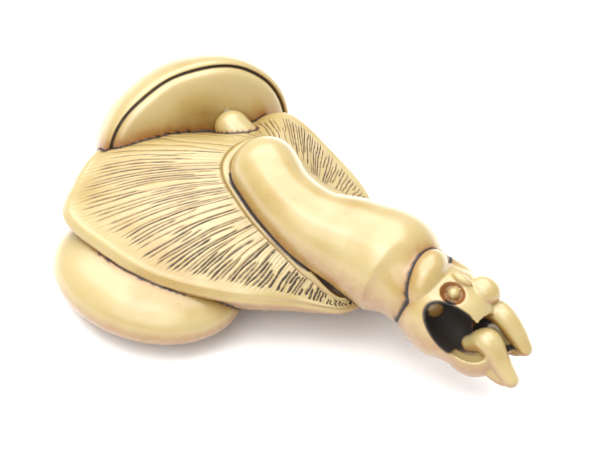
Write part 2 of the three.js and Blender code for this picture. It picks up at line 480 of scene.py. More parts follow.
class GillStrokes:
    """The hand-cut strokes between the stem's border and the lip.

    Each stroke has its own slight wander, width, depth and darkness, and its own start and end.
    """

    def __init__(
        self, regions: tuple[GillRegion, ...], speed: Callable[..., np.ndarray], shares: np.ndarray
    ) -> None:
        """Lays out the strokes.

        Args:
            regions: how they are cut, in order round the cap.
            speed: millimetres for each turn, for arrays of turns and shares out to the lip.
            shares: the shares from the border to the lip at which strokes are worked out.
        """
        self.random = np.random.default_rng(SEED)
        self.regions = regions
        hand = self.hand = Hand()
        base = self.spaced_turns(speed)
        count = len(base)
        gap = (np.roll(base, -1) - base) % 1.0
        draw = self.random.uniform
        late = draw(0, 1, count) < hand.late
        start = np.where(late, draw(*hand.late_start, count), draw(*hand.start, count))
        end = np.where(draw(0, 1, count) < hand.short, draw(*hand.short_end, count), draw(*hand.end, count))
        lean = np.where(late, self.random.choice([-1.0, 1.0], count), 0.0)
        turns = np.zeros((count, len(shares)))
        fade = np.zeros_like(turns)
        own = draw(0, hand.spread, (count, 3))
        strength = draw(*hand.strength, count)
        round_cap, along = hand.drift_bumps
        own_bumps, cut_bumps = hand.ragged_bumps
        low, high, last = hand.levels
        middle, swing = hand.ragged
        for k, share in enumerate(shares):
            drift = noises([(t * round_cap, share * along, low) for t in base])
            wobble = noises([(a, share * hand.wobble_bumps + b, high) for a, b in own[:, :2]])
            merge = lean * np.exp(-np.clip(share - start, 0, 1) / hand.merge_reach)
            turns[:, k] = base + gap * (hand.drift * drift + hand.wobble * wobble + hand.merge * merge)
            opening = smoothstep(*hand.opening, share - start)
            closing = smoothstep(*hand.closing, end - share)
            ragged = middle + swing * noises([(c * own_bumps, share * cut_bumps, last) for c in own[:, 2]])
            fade[:, k] = opening * closing * np.clip(ragged, *hand.ragged_limits)
        order = np.maximum.accumulate(turns + 1e-7 * np.arange(count)[:, None], axis=0)
        self.turns = order
        speeds = speed(order, shares[None, :])
        ahead = (np.roll(order, -1, axis=0) - order) % 1.0
        behind = (order - np.roll(order, 1, axis=0)) % 1.0
        widths = self.region_value("width", base)[:, None] * (0.5 + 0.5 * fade) / speeds
        self.widths = np.minimum(widths, hand.room * np.minimum(ahead, behind))
        narrow = np.clip(self.widths * speeds / hand.full_width, 0.25, 1.0)
        self.depths = self.region_value("depth", base)[:, None] * fade * narrow * strength[:, None]
        self.inks = self.region_value("ink", base)[:, None] * fade * strength[:, None]

    def region_value(self, name: str, turns: np.ndarray) -> np.ndarray:
        """One of the regions' values, changing smoothly between regions.

        Args:
            name: which value.
            turns: where it is wanted, as shares of a turn.

        Returns:
            The value at each turn.
        """
        places = [r.turn for r in self.regions]
        values = [getattr(r, name) for r in self.regions]
        return np.interp(turns, places, values, period=1.0)

    def spaced_turns(self, speed: Callable[..., np.ndarray]) -> np.ndarray:
        """Where the strokes start out, spaced by each region's pitch with some jitter.

        Args:
            speed: millimetres for each turn.

        Returns:
            The strokes' turns in order.
        """
        measured_at = np.array([0.75])
        turns = []
        turn = 0.0
        while turn < 1.0:
            turns.append(turn)
            here = np.array([turn])
            step = self.region_value("pitch", here) / speed(here, measured_at)
            turn += float(step[0]) * self.random.uniform(*self.hand.jitter)
        return np.array(turns[:-1])


@dataclass(frozen=True)
class GilledCap:
    """The big mushroom's cap, lying gills up."""

    # Spokes round the cap, anticlockwise from the side under the stem's bulb: where the gills start beside
    # the stem, the rim where they end, and how far the gilled side swells between the two.
    spokes: tuple[tuple[Point, Point, float], ...] = (
        ((6.5, 5.0, 10.5), (8.8, 5.5, 8.0), 0.0),
        ((5.4, 8.2, 12.4), (7.4, 11.0, 11.2), 0.1),
        ((2.4, 9.4, 13.7), (3.6, 17.0, 12.0), 0.3),
        ((-0.2, 12.0, 14.7), (-1.5, 23.0, 12.0), 0.3),
        ((-2.2, 14.6, 15.1), (-5.2, 24.3, 9.6), 0.2),
        ((-4.0, 15.6, 15.2), (-10.0, 24.3, 8.0), 0.2),
        ((-5.4, 14.8, 15.2), (-18.5, 22.0, 9.6), 0.3),
        ((-6.6, 13.6, 15.0), (-22.0, 18.4, 10.4), 0.6),
        ((-7.2, 12.2, 14.7), (-24.2, 14.7, 9.4), 1.0),
        ((-7.0, 10.5, 14.4), (-25.1, 10.8, 8.9), 1.2),
        ((-6.0, 8.6, 13.9), (-21.0, 5.5, 8.8), 1.2),
        ((-4.4, 6.2, 13.1), (-15.8, 1.5, 8.5), 1.0),
        ((-1.8, 3.4, 11.9), (-6.8, -1.1, 8.0), 0.5),
        ((1.2, 0.9, 10.2), (-1.0, -1.1, 7.4), 0.2),
        ((4.4, -0.7, 7.8), (4.7, -1.5, 7.0), 0.0),
        ((7.2, 1.5, 8.2), (7.6, 1.0, 7.0), 0.0),
    )
    hub: Point = (-1.0, 8.5, 13.0)
    crown: Point = (-8.0, 11.5, 1.2)
    border: float = 0.9
    border_start: float = 1.2  # where the gills start, in borders
    narrowest: float = 0.2  # the most of the reach that the border or the lip takes
    tuck: float = 0.5  # how far the gilled side goes down beside the stem
    ridge: float = 0.03
    edge_ink: float = 0.35
    ridge_places: tuple[float, float] = (0.35, 0.65)
    border_profile: tuple[tuple[float, float], ...] = (
        ((0.1, 0.02), (0.3, 0.17), (0.55, 0.22), (0.8, 0.18), (1.05, 0.06))
    )
    lip: float = 1.2
    lip_profile: tuple[tuple[float, float], ...] = ((0.15, 0.04), (0.4, 0.08), (0.62, 0.06))
    edge_radius: float = 0.5
    edge_rings: int = 6
    edge_start: float = 0.6  # how far round the first ring of the edge is, in rings
    lip_thickness: float = 1.0
    undercut: float = 1.0
    gill_rings: int = 40
    back_rings: int = 10
    regions: tuple[GillRegion, ...] = (
        GillRegion(0.03, 0.45, 0.11, 0.20, 1.0),
        GillRegion(0.14, 0.46, 0.12, 0.20, 1.1),
        GillRegion(0.22, 0.50, 0.12, 0.18, 1.0),
        GillRegion(0.28, 2.0, 0.10, 0.12, 0.7),
        GillRegion(0.40, 2.0, 0.10, 0.12, 0.7),
        GillRegion(0.45, 0.50, 0.12, 0.14, 0.85),
        GillRegion(0.58, 0.46, 0.12, 0.14, 0.95),
        GillRegion(0.66, 0.47, 0.13, 0.16, 1.1),
        GillRegion(0.72, 0.46, 0.15, 0.20, 1.3),
        GillRegion(0.80, 0.43, 0.20, 0.26, 1.5),
        GillRegion(0.90, 0.43, 0.19, 0.24, 1.5),
        GillRegion(0.97, 0.45, 0.14, 0.20, 1.0),
    )

    def stem_line(self) -> SmoothLine:
        """Where the gills start, round the stem."""
        return SmoothLine([s[0] for s in self.spokes], closed=True)

    def rim_line(self) -> SmoothLine:
        """The rim, with the swell as a fourth coordinate."""
        return SmoothLine([(*s[1], s[2]) for s in self.spokes], closed=True)

    def reach(self, turn: np.ndarray) -> np.ndarray:
        """How far it is from the stem to the rim."""
        return np.linalg.norm(self.rim_line().at(turn)[..., :3] - self.stem_line().at(turn), axis=-1)

    def gills_start(self, turn: np.ndarray) -> np.ndarray:
        """The distance from the stem at which the smooth border ends."""
        return np.minimum(self.border, self.reach(turn) * self.narrowest)

    def gills_end(self, turn: np.ndarray) -> np.ndarray:
        """The distance from the stem at which the smooth lip starts."""
        return self.reach(turn) - np.minimum(self.lip, self.reach(turn) * self.narrowest)

    def surface(self, turn: np.ndarray, distance: np.ndarray, lift: Any) -> np.ndarray:
        """Points on the gilled side.

        Args:
            turn: shares of a turn round the cap.
            distance: how far out from the stem.
            lift: how far above the surface.

        Returns:
            The points.
        """
        inner = self.stem_line().at(turn)
        rim = self.rim_line().at(turn)
        share = (distance / self.reach(turn))[..., None]
        points = mixed(inner, rim[..., :3], share)
        points[..., 2] += lift + rim[..., 3] * np.sin(math.pi * share[..., 0])
        return points

    def gill_distance(self, turn: np.ndarray, share: Any) -> np.ndarray:
        """The distance from the stem at a share of the way from the border to the lip."""
        return mixed(self.border_start * self.gills_start(turn), self.gills_end(turn), share)

    def speed(self, turn: np.ndarray, share: np.ndarray) -> np.ndarray:
        """How long a turn is.

        Args:
            turn: shares of a turn round the cap.
            share: the share of the way from the border to the lip.

        Returns:
            Millimetres for each turn, never less than one.
        """
        step = 1e-3
        ahead = self.surface(turn + step, self.gill_distance(turn + step, share), 0.0)
        behind = self.surface(turn - step, self.gill_distance(turn - step, share), 0.0)
        return np.maximum(np.linalg.norm(ahead - behind, axis=-1) / (2 * step), 1.0)

    def build(self) -> bmesh.types.BMesh:
        """The cap.

        Returns:
            A closed mesh, with the strokes' darkness as ink.
        """
        shares = np.linspace(0.0, 1.0, self.gill_rings)
        strokes = GillStrokes(self.regions, self.speed, shares)
        turns, lifts, inks = self.columns(strokes)
        first, last = turns[:, 0], turns[:, -1]
        rings = [np.tile(np.array(self.hub), (len(first), 1))]
        rings.append(self.surface(first, np.zeros(len(first)), -self.tuck))
        for out, lift in self.border_profile:
            rings.append(self.surface(first, out * self.border_start * self.gills_start(first), lift))
        before = len(rings)
        for k, share in enumerate(shares):
            turn = turns[:, k]
            rings.append(self.surface(turn, self.gill_distance(turn, share), lifts[:, k]))
        for out, lift in self.lip_profile:
            distance = mixed(self.gills_end(last), self.reach(last), out)
            rings.append(self.surface(last, distance, lift))
        rings.extend(self.rolled_edge(last))
        points = np.stack(rings, axis=1)
        ink = np.zeros(points.shape[:2])
        ink[:, before : before + len(shares)] = inks
        LOG.info("gilled cap: %d strokes, %d columns, %d rings", len(strokes.turns), *points.shape[:2])
        return shaped_ball(Form.GILLS, points, ink)

    def columns(self, strokes: GillStrokes) -> tuple[np.ndarray, np.ndarray, np.ndarray]:
        """The grid's columns: three down each stroke and two on the ridge after it.

        Args:
            strokes: the strokes.

        Returns:
            The turns, lifts and darkness, by column and ring.
        """
        here, width = strokes.turns, strokes.widths
        after = np.vstack([here[1:], here[:1] + 1.0])
        after_width = np.roll(width, -1, axis=0)
        left, right = here + width, after - after_width
        near, far = (mixed(left, right, place) for place in self.ridge_places)
        turns = np.stack([here - width, here, left, near, far], 1)
        ridge = self.ridge * np.ones_like(here)
        lifts = np.stack([0 * ridge, -strokes.depths, 0 * ridge, ridge, ridge], 1)
        edge = self.edge_ink * strokes.inks
        inks = np.stack([edge, strokes.inks, edge, 0 * edge, 0 * edge], 1)
        shape = (-1, here.shape[1])
        return turns.reshape(shape), lifts.reshape(shape), inks.reshape(shape)

    def rolled_edge(self, turn: np.ndarray) -> list[np.ndarray]:
        """The rim's round edge, the undercut behind it and the domed back.

        Args:
            turn: the turn of each column at the rim.

        Returns:
            The rings in order.
        """
        rim = self.rim_line().at(turn)[:, :3]
        inward = self.stem_line().at(turn) - rim
        inward[:, 2] = 0.0
        inward = unit(inward)
        up = np.array((0.0, 0.0, 1.0))
        middle = rim + inward * self.edge_radius - up * self.edge_radius
        rings = []
        for k in range(self.edge_rings):
            angle = math.pi * (k + self.edge_start) / self.edge_rings
            rings.append(middle + self.edge_radius * (up * math.cos(angle) - inward * math.sin(angle)))
        under = rim + inward * self.lip_thickness / 4 - up * self.lip_thickness
        neck = under + inward * self.undercut
        crown = np.array(self.crown)
        for k in range(self.back_rings + 1):
            lean = (math.pi / 2) * k / self.back_rings
            ring = mixed(crown, neck, math.cos(lean))
            ring[:, 2] = mixed(neck[:, 2], crown[2], math.sin(lean))
            rings.append(ring)
        return rings


# ------------------------------------------------------------------ the two other caps


@dataclass(frozen=True)
class StandingCap:
    """The cap that stands behind, its hollow face to the front inside a broad margin."""

    centre: Point = (-10.9, 21.15, 8.85)
    roll: float = -9.0
    lift: float = 20.0
    turn: float = 24.0
    radius: float = 11.0
    oval: float = 0.825
    face_dish: float = 0.2
    face_puff: float = 1.0
    groove: float = 0.925
    groove_depth: float = 0.55
    groove_ink: tuple[float, ...] = (0.2, 0.6, 0.85, 0.6, 0.15)
    groove_wander: float = 0.022
    groove_wander_bumps: float = 2.2
    groove_reach: float = 0.07  # the part of the radius that wanders with the groove
    margin: float = 2.5
    waist: float = 0.99  # the back of the margin, as a share of the radius
    depth: float = 6.6
    face_rings: int = 20
    margin_rings: int = 17
    dome_rings: int = 13
    columns: int = 288

    def profile(self) -> tuple[np.ndarray, np.ndarray, np.ndarray]:
        """The cap's section from the middle of the face to the middle of the back.

        Returns:
            The radius, height and groove ink of each ring.
        """
        edge = self.groove * self.radius
        puff, groove = self.face_puff, self.groove_depth
        waist = self.waist * self.radius
        face = [
            (0.0, self.face_dish),
            (0.25 * self.radius, mixed(self.face_dish, puff, 0.4)),
            (0.55 * self.radius, puff),
            (0.78 * self.radius, 0.75 * puff),
            (edge - 0.55, 0.45 * puff),
            (edge - 0.22, 0.1),
            (edge - 0.08, -0.3 * groove),
        ]
        margin = [
            (edge + 0.1, -0.75 * groove),
            (edge + 0.3, -0.3 * groove),
            (self.radius - 0.22, -0.14 * self.margin),
            (self.radius - 0.02, -0.4 * self.margin),
            (self.radius, -0.65 * self.margin),
            (waist, -self.margin),
        ]
        leans = np.linspace(0.0, math.pi / 2, self.dome_rings + 1)[1:]
        dome = np.stack(
            [waist * np.cos(leans), -self.margin - (self.depth - self.margin) * np.sin(leans)], axis=1
        )
        line = np.vstack(
            [
                SmoothLine(face).at(np.linspace(0.0, 1.0, self.face_rings)),
                [(edge, -groove)],
                SmoothLine(margin).at(np.linspace(0.0, 1.0, self.margin_rings)),
                dome,
            ]
        )
        ink = np.zeros(len(line))
        start = self.face_rings - len(self.groove_ink) // 2
        ink[start : start + len(self.groove_ink)] = self.groove_ink
        return line[:, 0], line[:, 1], ink

    def frame(self) -> np.ndarray:
        """How the cap is turned.

        Returns:
            The turn from the cap's own axes to the working frame's.
        """
        turns = ((self.turn, "Z"), (-self.lift, "X"), (self.roll, "Y"))
        first, second, third = (Matrix.Rotation(math.radians(angle), 3, axis) for angle, axis in turns)
        return np.array(first @ second @ third)

    def build(self) -> bmesh.types.BMesh:
        """The cap.

        Returns:
            A closed mesh, with the groove's darkness as ink.
        """
        radius, height, ink = self.profile()
        angle = np.arange(self.columns) / self.columns * math.tau
        bumps = self.groove_wander_bumps
        wander = noises([(math.cos(a) * bumps, math.sin(a) * bumps, 5.0) for a in angle])
        near_groove = np.exp(-(((radius / self.radius - self.groove) / self.groove_reach) ** 2))
        out = radius[None, :] * (1.0 + self.groove_wander * wander[:, None] * near_groove[None, :])
        across = out * np.sin(angle)[:, None]
        upward = -out * np.cos(angle)[:, None] * self.oval
        local = np.stack([across, np.broadcast_to(-height, out.shape), upward], axis=-1)
        local[:, 0] = (0.0, -height[0], 0.0)
        local[:, -1] = (0.0, -height[-1], 0.0)
        points = local @ self.frame().T + np.array(self.centre)
        return shaped_ball(Form.STANDING_CAP, points, np.tile(ink, (self.columns, 1)))


@dataclass(frozen=True)
class SideCap:
    """The cap that bulges out under the gilled rim."""

    body: Egg = Egg((-16.0, 6.0, 4.2), (10.8, 8.5, 4.3), -32.0, columns=128, rings=64)

    def build(self) -> bmesh.types.BMesh:
        """The cap as a closed mesh."""
        return self.body.build(Form.SIDE_CAP)


# ------------------------------------------------------------------ the root


@dataclass(frozen=True)
class Root:
    """The carved root that the stems end in, with its hollow, bud, leaf and two prongs.

    Its forms are laid out in a frame of its own: X along it from the neck to the prongs, Y across it to its
    back and Z out of its hollow.
    """

    neck: Point = (12.0, -2.1, 10.0)
    along: Point = (0.8, -0.52, -0.3)
    out: Point = (0.0, -0.707, 0.707)
    sheath: Limb = Limb(
        ((-0.1, 1.1, 0.0, 4.0), (2.6, 0.5, 0.0, 4.85), (5.6, 0.2, -0.2, 4.9), (8.3, -0.5, -0.6, 3.6))
    )
    fold: Egg = Egg((0.5, 1.7, 2.3), (2.2, 3.5, 2.9), 12.0)
    back_fold: Egg = Egg((2.8, 4.6, -0.8), (2.9, 1.0, 2.4))
    hollow: Egg = Egg((6.5, -0.8, 3.2), (4.2, 2.2, 3.4), -8.0)
    cleft: Egg = Egg((9.8, 1.6, 1.6), (3.0, 2.0, 2.8), 25.0)
    pit: Egg = Egg((3.9, 2.3, 4.5), (1.35, 1.2, 1.4))
    pit_nub: Egg = Egg((3.9, 2.3, 3.5), (0.7, 0.7, 0.8))
    leaf: Egg = Egg((3.7, 4.0, 3.5), (1.2, 0.5, 0.7), 5.0)
    bud: Egg = Egg((6.1, 4.4, 1.9), (1.85, 1.55, 1.5), 5.0)
    back_blade: Egg = Egg((9.6, 2.4, -0.9), (3.7, 1.9, 0.9), -12.0)
    front_blade: Egg = Egg((11.3, -1.5, 0.1), (2.8, 1.2, 0.8), -8.0)
    back_prong: Limb = Limb(
        ((7.2, 3.4, 0.2, 1.3), (9.1, 3.5, 0.9, 1.25), (11.4, 2.7, 0.4, 1.1), (12.9, 2, 0, 0.85))
    )
    front_prong: Limb = Limb(
        ((7.9, -0.9, 0.6, 0.9), (9.4, 0.3, 1.5, 1.45), (11.6, -0.6, 1.0, 1.15), (13.7, -1.5, 0.6, 0.9))
    )
    voxel: float = 0.15
    smoothing: float = 0.5

    def frame(self) -> Matrix:
        """Where the root's frame lies.

        Returns:
            The turn and move from the root's frame to the working frame.
        """
        along = Vector(self.along).normalized()
        out = Vector(self.out)
        out = (out - along * out.dot(along)).normalized()
        across = out.cross(along)
        axes = Matrix((along, across, out)).transposed().to_4x4()
        return Matrix.Translation(Vector(self.neck)) @ axes

    def stained_walls(self) -> tuple[tuple[Egg, str, float], ...]:
        """The cuts whose walls hold dirt, with the mark and its strength."""
        return ((self.hollow, "ink", 1.0), (self.cleft, "ink", 0.95), (self.pit, "toning_and_shade", 0.9))

    @staticmethod
    def solids(*parts: Union[Egg, Limb]) -> list[bpy.types.Object]:
        """The parts as objects."""
        return [as_object("root_part", part.build(Form.ROOT)) for part in parts]

    def build(self) -> bpy.types.Object:
        """The root, finely meshed.

        Returns:
            One object in the working frame.
        """
        body = self.solids(self.sheath)[0]
        combined(body, self.solids(self.fold, self.back_fold), "UNION")
        combined(body, self.solids(self.hollow, self.cleft, self.pit), "DIFFERENCE")
        combined(body, self.solids(self.pit_nub, self.leaf, self.bud), "UNION")
        combined(body, self.solids(self.back_blade, self.front_blade), "UNION")
        combined(body, self.solids(self.back_prong, self.front_prong), "UNION")
        with_modifier(body, "REMESH", mode="VOXEL", voxel_size=self.voxel)
        mesh = bmesh.new()
        mesh.from_mesh(body.data)
        drop(body)
        mesh.verts.layers.float.new("ink")
        mesh.faces.layers.int.new("form")
        set_form(mesh, Form.ROOT)
        axes = {"use_axis_x": True, "use_axis_y": True, "use_axis_z": True}
        bmesh.ops.smooth_vert(mesh, verts=mesh.verts, factor=self.smoothing, **axes)
        mesh.transform(self.frame())
        return as_object("root", mesh)


# ------------------------------------------------------------------ what is cut away


@dataclass(frozen=True)
class CordTunnel:
    """The curved hole for the cord, in and out of the domed back."""

    centre: Point = (-7.0, 14.3, 0.6)
    ring: float = 3.6
    tube: float = 1.5
    turn: float = 25.0
    sides: int = 32
    steps: int = 64

    def build(self) -> bmesh.types.BMesh:
        """The tunnel.

        Returns:
            A closed ring.
        """
        mesh = bmesh.new()
        made = bmesh.ops.create_circle(mesh, cap_ends=False, radius=self.tube, segments=self.sides)
        bmesh.ops.translate(mesh, vec=(self.ring, 0, 0), verts=made["verts"])
        whole = {"angle": math.tau, "steps": self.steps, "use_merge": True}
        bmesh.ops.spin(mesh, geom=mesh.verts[:] + mesh.edges[:], cent=(0, 0, 0), axis=(0, 1, 0), **whole)
        bmesh.ops.remove_doubles(mesh, verts=mesh.verts, dist=1e-5)
        bmesh.ops.recalc_face_normals(mesh, faces=mesh.faces)
        turn = Matrix.Rotation(math.radians(self.turn), 3, "Z")
        bmesh.ops.rotate(mesh, cent=(0, 0, 0), matrix=turn, verts=mesh.verts)
        bmesh.ops.translate(mesh, vec=self.centre, verts=mesh.verts)
        return mesh


def below_ground() -> bmesh.types.BMesh:
    """The block that cuts everything off flat at the ground.

    Returns:
        A closed block, its top at the ground.
    """
    size = 100.0
    mesh = bmesh.new()
    bmesh.ops.create_cube(mesh, size=size)
    bmesh.ops.translate(mesh, vec=(0, 0, -size / 2), verts=mesh.verts)
    return mesh


# ------------------------------------------------------------------ marks of age


@dataclass(frozen=True)
class Seam:
    """How two forms meet: a dark line in the crease, and toning that fades away from it on each form."""

    line: float  # half width of the dark line
    ink: float
    reach: float  # how far the toning goes
    toning_and_shade: dict[Form, float]  # strength on each form


SEAMS: dict[frozenset[Form], Seam] = {
    frozenset((Form.STEM, Form.GILLS)): Seam(0.24, 1.0, 3.6, {Form.STEM: 0.95, Form.GILLS: 0.15}),
    frozenset((Form.STANDING_CAP, Form.GILLS)): Seam(
        0.14, 0.9, 3.4, {Form.STANDING_CAP: 1.0, Form.GILLS: 0.35}
    ),
    frozenset((Form.SIDE_CAP, Form.GILLS)): Seam(0.14, 0.85, 1.4, {Form.SIDE_CAP: 0.8, Form.GILLS: 0.2}),
    frozenset((Form.STANDING_STEM, Form.STANDING_CAP)): Seam(
        0.07, 0.55, 1.0, {Form.STANDING_STEM: 0.3, Form.STANDING_CAP: 0.3}
    ),
    frozenset((Form.STANDING_STEM, Form.GILLS)): Seam(
        0.14, 0.9, 1.0, {Form.STANDING_STEM: 0.6, Form.GILLS: 0.4}
    ),
    frozenset((Form.STEM, Form.ROOT)): Seam(0.20, 0.9, 2.6, {Form.STEM: 0.8, Form.ROOT: 0.7}),
}
PLAIN_SEAM = Seam(0.12, 0.7, 1.2, {})


class Marks:
    """Reads the joined carving's vertices as arrays, works out its marks and writes them back."""

    NO_SEAM = 99.0  # mm, the distance given to vertices far from any seam
    ON_SEAM = 0.05
    LINE_EDGE = (1.7, 0.5)  # where a seam's line ends and is full, in half widths
    TONING_FADE = 0.45  # the part of a seam's reach in which its toning drops to a third
    UNDERSIDE = (0.75, -0.2)  # the upward part of the normal where the painted underside shade starts and is full
    WALL = (1.14, 1.02, 0.80, 0.92)  # how far out a cut's wall ends and starts, fading both ways
    PRONGS_ALONG = (6.6, 7.4)  # where the prongs start, in the root's frame
    PRONGS_OUT = (0.2, 0.9)

    def __init__(self, made: bpy.types.Object) -> None:
        """Reads places, forms and seams.

        Args:
            made: the joined carving in the working frame.
        """
        self.data = made.data
        mesh = bmesh.new()
        mesh.from_mesh(made.data)
        form_layer = mesh.faces.layers.int["form"]
        ink_layer = mesh.verts.layers.float["ink"]
        mesh.normal_update()
        self.points = np.array([v.co for v in mesh.verts])
        self.normals = np.array([v.normal for v in mesh.verts])
        self.values = {name: np.zeros(len(mesh.verts)) for name in MARKS}
        self.values["ink"] = np.array([v[ink_layer] for v in mesh.verts])
        self.forms = np.zeros(len(mesh.verts), int)
        seams: dict[frozenset[Form], list[Vector]] = {}
        for index, vert in enumerate(mesh.verts):
            met = {Form(face[form_layer]) for face in vert.link_faces if face[form_layer]}
            self.forms[index] = min(met, default=0)
            if len(met) == 2:
                seams.setdefault(frozenset(met), []).append(vert.co.copy())
        mesh.free()
        self.seams = seams

    def mark_seams(self) -> None:
        """Draws the dark creases and their toning where two forms meet."""
        outer, inner = self.LINE_EDGE
        for pair, places in self.seams.items():
            style = SEAMS.get(pair, PLAIN_SEAM)
            tree = kdtree.KDTree(len(places))
            for index, place in enumerate(places):
                tree.insert(place, index)
            tree.balance()
            near = np.isin(self.forms, [int(f) for f in pair])
            distance = np.full(len(self.points), self.NO_SEAM)
            distance[near] = [tree.find(p)[2] for p in self.points[near]]
            line = style.ink * smoothstep(outer * style.line, inner * style.line, distance)
            self.values["ink"] = np.maximum(self.values["ink"], line)
            for form, strength in style.toning_and_shade.items():
                on = (self.forms == form) | (distance < self.ON_SEAM)
                tone = strength * np.exp(-distance / (self.TONING_FADE * style.reach)) * on
                self.values["toning_and_shade"] = np.maximum(self.values["toning_and_shade"], tone)

    def paint_underside_shade(self, amount: float) -> None:
        """Paints shade on what faces down, in the toning colour, darker towards the undersides."""
        # Painted shade: the more a vertex faces down, the more tan toning it gets.
        under = amount * smoothstep(*self.UNDERSIDE, self.normals[:, 2])
        self.values["toning_and_shade"] = np.maximum(self.values["toning_and_shade"], under)

    def darken_walls(self, frame: Matrix, cuts: tuple[tuple[Egg, str, float], ...]) -> None:
        """Marks the walls that a cut leaves in the root.

        Args:
            frame: the turn and move from the root's frame to the working frame.
            cuts: each egg that was cut out, the mark that its wall takes and how strong it is.
        """
        back = np.array(frame.inverted())
        local = self.points @ back[:3, :3].T + back[:3, 3]
        on_prongs = smoothstep(*self.PRONGS_ALONG, local[:, 0]) * smoothstep(*self.PRONGS_OUT, local[:, 2])
        on_root = (self.forms == int(Form.ROOT)) * (1.0 - on_prongs)
        for cut, mark, amount in cuts:
            share = cut.share(local)
            wall = smoothstep(*self.WALL[:2], share) * smoothstep(*self.WALL[2:], share)
            self.values[mark] = np.maximum(self.values[mark], amount * wall * on_root)

    def write(self) -> None:
        """Writes the marks as attributes on the mesh."""
        for name, values in self.values.items():
            layer = self.data.attributes.get(name) or self.data.attributes.new(name, "FLOAT", "POINT")
            layer.data.foreach_set("value", np.clip(values, 0.0, 1.0).astype(np.float32))


# ------------------------------------------------------------------ shader tools


Number = Union[int, float]


class Shade:
    """A shader socket in an expression, with the operators that the materials use."""

    def __init__(self, tree: bpy.types.NodeTree, socket: bpy.types.NodeSocket) -> None:
        """Keeps the socket and the tree that it is in."""
        self.tree = tree
        self.socket = socket

    def maths(self, operation: str, *values: Union["Shade", Number]) -> "Shade":
        """One Math node.

        Args:
            operation: the node's operation.
            values: its inputs in order.

        Returns:
            Its output.
        """
        inputs = dict(enumerate(values))
        return add_node(self.tree, "ShaderNodeMath", {"operation": operation}, inputs)

    def __add__(self, other: Union["Shade", Number]) -> "Shade":
        """The sum."""
        return self.maths("ADD", self, other)

    __radd__ = __add__

    def __rsub__(self, other: Union["Shade", Number]) -> "Shade":
        """The other less this."""
        return self.maths("SUBTRACT", other, self)

    def __mul__(self, other: Union["Shade", Number]) -> "Shade":
        """The product."""
        return self.maths("MULTIPLY", self, other)

    __rmul__ = __mul__

    def clamped(self) -> "Shade":
        """This kept between 0 and 1."""
        return add_node(self.tree, "ShaderNodeClamp", {}, {"Value": self})

    def stepped(self, low: float, high: float) -> "Shade":
        """A smooth step.

        Args:
            low: where it is 0.
            high: where it is 1.

        Returns:
            The stepped value.
        """
        settings = {"interpolation_type": "SMOOTHSTEP"}
        inputs = {"Value": self, "From Min": low, "From Max": high}
        return add_node(self.tree, "ShaderNodeMapRange", settings, inputs)


def add_node(
    tree: bpy.types.NodeTree,
    kind: str,
    settings: dict[str, Any],
    inputs: dict[Union[str, int], Any],
    output: Union[str, int] = 0,
) -> Shade:
    """Adds any node.

    Args:
        tree: the material's or world's tree.
        kind: the node's type.
        settings: its properties, set first.
        inputs: the values or links of its sockets, by name or number.
        output: which output is returned.

    Returns:
        The output.
    """
    node = tree.nodes.new(kind)
    for name, value in settings.items():
        setattr(node, name, value)
    for key, value in inputs.items():
        if isinstance(value, Shade):
            tree.links.new(value.socket, node.inputs[key])
        else:
            node.inputs[key].default_value = value
    return Shade(tree, node.outputs[output] if node.outputs else None)


def linear(colour: Colour) -> tuple[float, float, float, float]:
    """A screen colour as the linear one that shaders use."""
    flat = [c / 12.92 if c <= 0.04045 else ((c + 0.055) / 1.055) ** 2.4 for c in colour]
    return (*flat, 1.0)


def blended(tree: bpy.types.NodeTree, low: Any, high: Any, factor: Any) -> Shade:
    """A colour mix.

    Args:
        tree: the node tree.
        low: the colour at factor 0, a socket or a linear colour.
        high: the colour at factor 1.
        factor: a socket or number.

    Returns:
        The mixed colour.
    """
    inputs = {0: factor, 6: low, 7: high}  # by number, as each kind of value has sockets of its own
    return add_node(tree, "ShaderNodeMix", {"data_type": "RGBA"}, inputs, 2)


# ------------------------------------------------------------------ finishes


